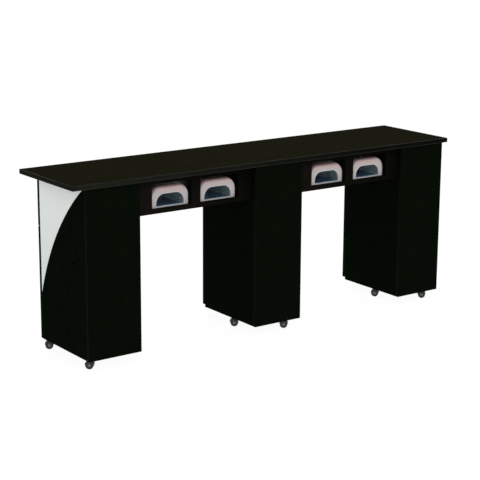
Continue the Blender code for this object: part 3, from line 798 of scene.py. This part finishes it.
def drawer_details(name, body):
    """The screws that hold the drawer's front, and a felt mat on its floor."""
    low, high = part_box(f"{name}_drawer_box")
    work = bmesh.new()
    for x in (low.x + FRONT_SCREW_ASIDE, high.x - FRONT_SCREW_ASIDE):
        for z in (low.z + FRONT_SCREW_UP, high.z - FRONT_SCREW_UP):
            screw(work, (x, high.y - DRAWER_WALL, z), (0, -1, 0))
    piece(f"{name}_drawer_front_screws", work, "steel", body)
    work = bmesh.new()
    margin = DRAWER_WALL + MAT_MARGIN
    floor = low.z + DRAWER_WALL + MAT_OFF_FLOOR
    block(
        work,
        (low.x + margin, low.y + margin, floor),
        (high.x - margin, high.y - margin, floor + MAT_THICKNESS),
        round_off=MAT_ROUND,
    )
    piece(f"{name}_drawer_mat", work, "black", body)


# ---------------------------------------------------------------- nail dryers

ARCH_STEPS, ARCH_FOOT = 18, 0.0015
SHELL_WALL, SHOULDER = 0.004, 0.042
FRONT_SHELL_LENGTH = 0.064
SHELL_JOINT, GROOVE_LENGTH, GROOVE_DEPTH = 0.0010, 0.0008, 0.0012

# The nose is a quarter of an ellipse, which drops more at the crown than it pulls in at the sides
NOSE_LENGTH, NOSE_DROP, NOSE_INSET, NOSE_STEPS = 0.018, 0.011, 0.003, 10

# The mouth stands on a low lip, inside a rounded rim
LIP = 0.003
MOUTH_HALF, MOUTH_HEIGHT, MOUTH_SHOULDER = 0.068, 0.053, 0.039
RIM_WIDTH, RIM_DEPTH = 0.0042, 0.0060
CHAMBER_START = 0.035

TUBE_PLACES = (-0.044, -0.0145, 0.0145, 0.044)
TUBE_FACETS, BUTTON_FACETS = 20, 40
TUBE_DROP, TUBE_RADIUS, TUBE_START, TUBE_END = 0.015, 0.0062, 0.044, 0.163
SOCKET_RADIUS, SOCKET_START, SOCKET_END = 0.0072, 0.158, 0.178

TRAY_RIBS, TRAY_RIB_HEIGHT, TRAY_RIB_SHARE, TRAY_HALF = 9, 0.0018, 0.62, 0.064
TRAY_THICKNESS, TRAY_OFF_FLOOR, TRAY_FRONT, TRAY_BACK = 0.0008, 0.0018, 0.011, 0.012

# The collar's outer and inner half sizes round the inlet, and the louvres above it
INLET_PLACE = (0.051, 0.018)
COLLAR_OUTER, COLLAR_INNER = (0.0085, 0.0060), (0.0064, 0.0044)
COLLAR_LAP, COLLAR_PROUD = 0.0002, 0.0008
LOUVRES, LOUVRE_START, LOUVRE_PITCH = 4, 0.040, 0.0075
LOUVRE_HALF, LOUVRE_HEIGHT, LOUVRE_PROUD = 0.030, 0.0028, 0.0005
TRIM_TUCK, TRIM_ROUND = 0.0004, 0.0003


def arch(half, height, shoulder, base, y):
    """A ring in the XZ plane: flat foot, upright sides, round shoulders and a flat crown."""
    top = base + height
    foot = ARCH_FOOT
    right = arc((half - shoulder, top - shoulder), shoulder, 0, math.pi / 2, ARCH_STEPS)
    left = [(-x, z) for x, z in reversed(right)]
    corners = [(-half, base + foot), (-half + foot, base), (half - foot, base), (half, base + foot)]
    return [(x, y, z) for x, z in [*corners, *right, *left]]


def lamp_sizes(number):
    """A housing's place at its front foot, and its half width, height and depth."""
    low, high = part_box(f"lamp_housing_{number}")
    place = Matrix.Translation(((low.x + high.x) / 2, low.y, low.z))
    return place, (high.x - low.x) / 2, high.z - low.z, high.y - low.y


def shrunk(half, height, inset, y, base=0.0):
    """The housing's own arch, pulled in evenly."""
    return arch(half - inset, height - inset, SHOULDER - inset, base, y)


def chamber(half, height, inset, y):
    """The arch of the curing chamber, pulled in from the shell's inner face."""
    wall = SHELL_WALL + inset
    return arch(half - wall, height - LIP - SHELL_WALL - 2 * inset, SHOULDER - wall, LIP + inset, y)


def lamp_front(number, place, half, height):
    """The light front shell: a rounded nose round the arched mouth, open at its back."""
    work = bmesh.new()
    rings = [arch(half, height, SHOULDER, 0, FRONT_SHELL_LENGTH)]
    for step in range(NOSE_STEPS + 1):
        turn = math.pi / 2 * step / NOSE_STEPS
        share = 1 - math.cos(turn)
        inset = NOSE_INSET * share
        y = NOSE_LENGTH * (1 - math.sin(turn))
        rings.append(arch(half - inset, height - NOSE_DROP * share, SHOULDER - inset, 0, y))
    edge = (MOUTH_HALF + RIM_WIDTH, MOUTH_HEIGHT + RIM_WIDTH, MOUTH_SHOULDER + RIM_WIDTH)
    rings.append(arch(*edge, LIP * 0.2, 0.0))
    rings.append(arch(*edge, LIP * 0.2, RIM_DEPTH))
    rings.append(chamber(half, height, 0.0, CHAMBER_START))
    rings.append(chamber(half, height, 0.0, FRONT_SHELL_LENGTH))
    loft(work, rings, place, closed=True)
    made = piece(f"lamp_{number}_front_shell", work, "lamp", TABLE)
    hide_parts(f"lamp_housing_{number}")


def lamp_rim(number, place):
    """The rounded rim that trims the mouth, from (how far out from the mouth, y) points."""
    profile = [
        (RIM_WIDTH - 0.0003, 0.0055), (RIM_WIDTH - 0.0003, 0.0012), (RIM_WIDTH - 0.0008, 0.0002),
        (RIM_WIDTH - 0.0018, -0.0003), (0.0016, -0.0003), (0.0006, 0.0002), (0.0, 0.0014),
        (0.0, 0.0070), (0.0012, 0.0070), (0.0016, 0.0055),
    ]
    rings = []
    for out, y in profile:
        drop = LIP * 0.8 * out / RIM_WIDTH
        ring_height = MOUTH_HEIGHT + out + drop
        rings.append(arch(MOUTH_HALF + out, ring_height, MOUTH_SHOULDER + out, LIP - drop, y))
    work = bmesh.new()
    loft(work, rings, place, closed=True)
    piece(f"lamp_{number}_rim", work, "rim", TABLE)


def lamp_rear(number, place, half, height, depth):
    """The rear shell, black as painted shade over the dryers' flanks deep in the bay, with a groove
    where it meets the front one.
    """
    start = FRONT_SHELL_LENGTH + SHELL_JOINT
    groove = start - GROOVE_LENGTH
    rings = [
        chamber(half, height, 0.0, depth - SHELL_WALL),
        chamber(half, height, 0.0, groove),
        shrunk(half, height, GROOVE_DEPTH, groove, 0.0004),
        shrunk(half, height, GROOVE_DEPTH, start, 0.0004),
        shrunk(half, height, 0.0004, start, 0.0002),
        shrunk(half, height, 0.0, start + 0.0006),
        shrunk(half, height, 0.0, depth - 0.0050),
        shrunk(half, height, 0.0006, depth - 0.0022, 0.0001),
        shrunk(half, height, 0.0022, depth - 0.0006, 0.0004),
        shrunk(half, height, 0.0050, depth, 0.0010),
    ]
    work = bmesh.new()
    loft(work, rings, place)
    piece(f"lamp_{number}_rear_shell", work, "black", TABLE)


def lamp_reflector(number, place, half, height, depth):
    """The bright sheet that lines the chamber, flared towards the mouth."""
    near, far, front = CHAMBER_START + 0.001, depth - SHELL_WALL, RIM_DEPTH + 0.0018
    outer, inner = 0.0006, 0.0015
    back, edge = 0.0014, 0.0004
    rings = [
        chamber(half, height, outer, far - 0.0006),
        chamber(half, height, outer, near),
        arch(MOUTH_HALF + back, MOUTH_HEIGHT + 0.0010, MOUTH_SHOULDER + back, LIP + 0.0002, front),
        arch(MOUTH_HALF + edge, MOUTH_HEIGHT, MOUTH_SHOULDER + edge, LIP + 0.0012, front),
        chamber(half, height, inner, near),
        chamber(half, height, inner, far - 0.0016),
    ]
    work = bmesh.new()
    loft(work, rings, place)
    piece(f"lamp_{number}_reflector", work, "liner", TABLE)


def lamp_tray(number, place, depth):
    """The loose tray on the chamber's floor, with ridges that run from front to back."""
    floor = LIP + TRAY_OFF_FLOOR
    pitch = 2 * TRAY_HALF / TRAY_RIBS
    valley, ridge = floor + TRAY_THICKNESS, floor + TRAY_RIB_HEIGHT
    profile = [(-TRAY_HALF, floor)]
    for rib in range(TRAY_RIBS):
        start = rib * pitch - TRAY_HALF
        profile += [(start, valley), (start + pitch * TRAY_RIB_SHARE, ridge)]
    profile += [(TRAY_HALF, valley), (TRAY_HALF, floor)]
    work = bmesh.new()
    rings = [[(x, y, z) for x, z in profile] for y in (TRAY_FRONT, depth - TRAY_BACK)]
    loft(work, rings, place)
    piece(f"lamp_{number}_tray", work, "tray", TABLE, smooth=10)


def lamp_tubes(number, place, height):
    """Four tubes in a row under the chamber's roof, and the sockets they plug into."""
    end_radius, shoulder = 0.0050, 0.003
    glass = [
        (end_radius, TUBE_START), (TUBE_RADIUS, TUBE_START + shoulder),
        (TUBE_RADIUS, TUBE_END - shoulder), (end_radius, TUBE_END),
    ]
    chamfer = 0.002
    socket = [
        (SOCKET_RADIUS - 0.0006, SOCKET_START), (SOCKET_RADIUS, SOCKET_START + chamfer),
        (SOCKET_RADIUS, SOCKET_END - chamfer), (SOCKET_RADIUS - 0.0012, SOCKET_END),
    ]
    work = bmesh.new()
    for x in TUBE_PLACES:
        matrix = place @ turn_to((0, 1, 0), (x, 0, height - TUBE_DROP))
        lathe(work, glass, TUBE_FACETS, matrix, 0)
        lathe(work, socket, TUBE_FACETS, matrix, 1)
    piece(f"lamp_{number}_tubes", work, ("tube", "socket"), TABLE)


def lamp_back_details(number, place, depth):
    """The collar round the lead's inlet, and the vent louvres above it."""
    x, z = INLET_PLACE
    wide, tall = COLLAR_OUTER
    hole_wide, hole_tall = COLLAR_INNER
    side_tall = hole_tall + COLLAR_LAP
    inner, outer = depth - TRIM_TUCK, depth + COLLAR_PROUD
    work = bmesh.new()
    for low, high in (
        ((x - wide, z - tall), (x + wide, z - hole_tall)),
        ((x - wide, z + hole_tall), (x + wide, z + tall)),
        ((x - wide, z - side_tall), (x - hole_wide, z + side_tall)),
        ((x + hole_wide, z - side_tall), (x + wide, z + side_tall)),
    ):
        block(work, (low[0], inner, low[1]), (high[0], outer, high[1]), TRIM_ROUND, place)
    for row in range(LOUVRES):
        level = LOUVRE_START + row * LOUVRE_PITCH
        low = (-LOUVRE_HALF, inner, level)
        high = (LOUVRE_HALF, depth + LOUVRE_PROUD, level + LOUVRE_HEIGHT)
        block(work, low, high, TRIM_ROUND, place)
    piece(f"lamp_{number}_inlet_and_vents", work, "grommet", TABLE)


def lamp_button(number):
    """The push button: a domed cap with a ring groove."""
    low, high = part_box(f"lamp_button_{number}")
    middle = (low + high) / 2
    radius = (high.x - low.x) / 2
    top = high.z - low.z
    profile = [
        (radius * 0.95, 0.0), (radius, 0.0004), (radius, top - 0.0012),
        (radius * 0.96, top - 0.0005), (radius * 0.86, top - 0.0001), (radius * 0.74, top),
        (radius * 0.66, top - 0.0005), (radius * 0.6, top - 0.0003), (radius * 0.3, top - 0.0001),
    ]
    work = bmesh.new()
    lathe(work, profile, BUTTON_FACETS, Matrix.Translation((middle.x, middle.y, low.z)))
    made = piece(f"lamp_{number}_button_cap", work, "button", f"lamp_button_{number}")
    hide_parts(f"lamp_button_{number}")


# ---------------------------------------------------------------- castors

# Each wheel lies between two distances from the castor's middle plane
WHEEL_INSIDE, WHEEL_OUTSIDE = 0.0028, 0.0123
TYRE_EDGE, TYRE_DEPTH = 0.0011, 0.0038
HUB_RADIUS, HUB_BASE_RADIUS, AXLE_RADIUS = 0.0058, 0.0066, 0.0029
SOCKET_FLANGE, SOCKET_BORE, SOCKET_PROUD = 0.0112, 0.0046, 0.0004
TYRE_FACETS, DISC_FACETS, HUB_FACETS, AXLE_FACETS, FLANGE_FACETS = 48, 40, 32, 20, 32


def castor_wheels(name, number):
    """Twin wheels: a rounded tyre, a recessed disc and a hub cap each, and the axle between."""
    roll = joints[f"{name}_castor_roll_{number}"]
    node = f"{name}_castor_wheels_{number}"
    low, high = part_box(node)
    radius = (high.z - low.z) / 2
    place = turn_to(roll["axis"], roll["pos_m"])
    inside, outside = WHEEL_INSIDE, WHEEL_OUTSIDE
    edge, bevel = TYRE_EDGE, TYRE_EDGE * 0.3
    inner, disc_radius = radius - TYRE_DEPTH, radius - 0.0036
    tyre = [
        (inner, inside + 0.0006), (radius - edge, inside),
        (radius - bevel, inside + bevel), (radius, inside + edge),
        (radius, outside - edge), (radius - bevel, outside - bevel),
        (radius - edge, outside), (radius - 0.0030, outside - 0.0001),
        (inner, outside - 0.0008),
    ]
    disc = [
        (0.0030, inside + 0.0008), (disc_radius, inside + 0.0008),
        (disc_radius, outside - 0.0012), (radius - 0.0048, outside - 0.0006),
        (radius - 0.0058, outside - 0.0022), (HUB_RADIUS, outside - 0.0030),
    ]
    cap = [
        (HUB_BASE_RADIUS, outside - 0.0034), (HUB_BASE_RADIUS, outside - 0.0014),
        (HUB_RADIUS, outside - 0.0006), (0.0040, outside - 0.0001), (0.0018, outside),
    ]
    work = bmesh.new()
    for hand in (1, -1):
        mirror = place @ Matrix.Diagonal((1, 1, hand, 1))
        lathe(work, tyre, TYRE_FACETS, mirror, 0, closed=True)
        lathe(work, disc, DISC_FACETS, mirror, 1)
        lathe(work, cap, HUB_FACETS, mirror, 2)
    reach = inside + 0.001
    lathe(work, [(AXLE_RADIUS, -reach), (AXLE_RADIUS, reach)], AXLE_FACETS, place, 2)
    made = piece(f"{name}_castor_{number}_twin_wheels", work, ("tread", "disc", "hub"), node)
    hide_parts(node)


def castor_sockets(name):
    """The pressed flanges of the stem sockets, under the bottom board."""
    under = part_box(f"{name}_cabinet_bottom")[0].z
    ring = [
        (SOCKET_FLANGE - 0.0002, -SOCKET_PROUD), (SOCKET_FLANGE, -SOCKET_PROUD / 2),
        (SOCKET_FLANGE, 0.0001), (SOCKET_BORE, 0.0001), (SOCKET_BORE, -SOCKET_PROUD),
    ]
    work = bmesh.new()
    for number in CASTORS:
        x, y, _ = joints[f"{name}_castor_swivel_{number}"]["pos_m"]
        lathe(work, ring, FLANGE_FACETS, Matrix.Translation((x, y, under)), closed=True)
    piece(f"{name}_castor_sockets", work, "steel", TABLE)


# ---------------------------------------------------------------- assembly


def main():
    """Makes the studio and every piece."""
    camera()
    studio()
    paint_nodes()
    worktop_band()
    grommet()
    for name in CABINETS:
        panel_bands(name)
        angle_brackets(name)
        castor_sockets(name)
        front_bands(f"{name}_door_edge_bands", f"{name}_door", f"{name}_door")
        bow_pull(f"{name}_door_pull", f"{name}_door")
        door_hinge(name)
        for number in CASTORS:
            castor_wheels(name, number)
    for name in DRAWERS:
        body = f"{name}_drawer"
        front_bands(f"{name}_drawer_edge_bands", f"{name}_drawer_front", body)
        bow_pull(f"{name}_drawer_pull", body)
        drawer_runners(name, body)
        drawer_details(name, body)
    for number in LAMPS:
        place, half, height, depth = lamp_sizes(number)
        lamp_front(number, place, half, height)
        lamp_rim(number, place)
        lamp_rear(number, place, half, height, depth)
        lamp_reflector(number, place, half, height, depth)
        lamp_tray(number, place, depth)
        lamp_tubes(number, place, height)
        lamp_back_details(number, place, depth)
        lamp_button(number)


main()
